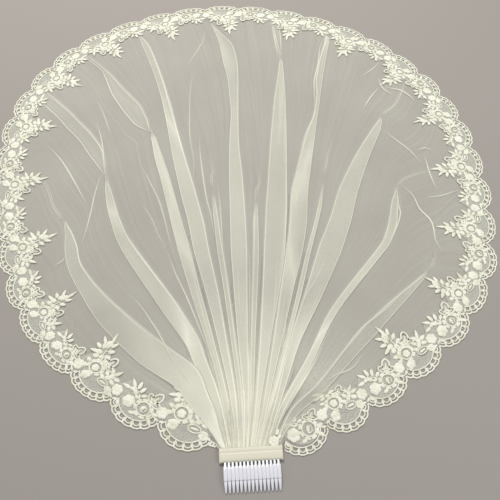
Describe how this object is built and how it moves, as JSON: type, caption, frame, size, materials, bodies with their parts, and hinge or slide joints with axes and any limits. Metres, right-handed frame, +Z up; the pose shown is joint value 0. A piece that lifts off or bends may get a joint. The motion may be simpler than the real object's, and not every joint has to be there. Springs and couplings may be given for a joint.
{
  "type": "bridal veil",
  "caption": "Single-tier tulle bridal veil laid out flat, with a scalloped corded lace edge, gathered into a satin casing on a clear hair comb.",
  "frame": {"origin": "under the middle of the laid-out veil, on the surface it lies on", "axes": "+Y from the comb to the far hem, +X to the veil's right as it is seen from above with the comb nearest, +Z up"},
  "size_m": [0.9758, 1.0942, 0.0077],
  "materials": {
    "tulle": "sheer soft net",
    "lace": "matte corded lace",
    "satin": "soft satin",
    "clear_plastic": "clear glossy"
  },
  "bodies": {
    "root": {"tulle_panel": "tulle", "lace_right": "lace", "lace_left": "lace", "casing": "satin", "comb": "clear_plastic"}
  },
  "joints": []
}
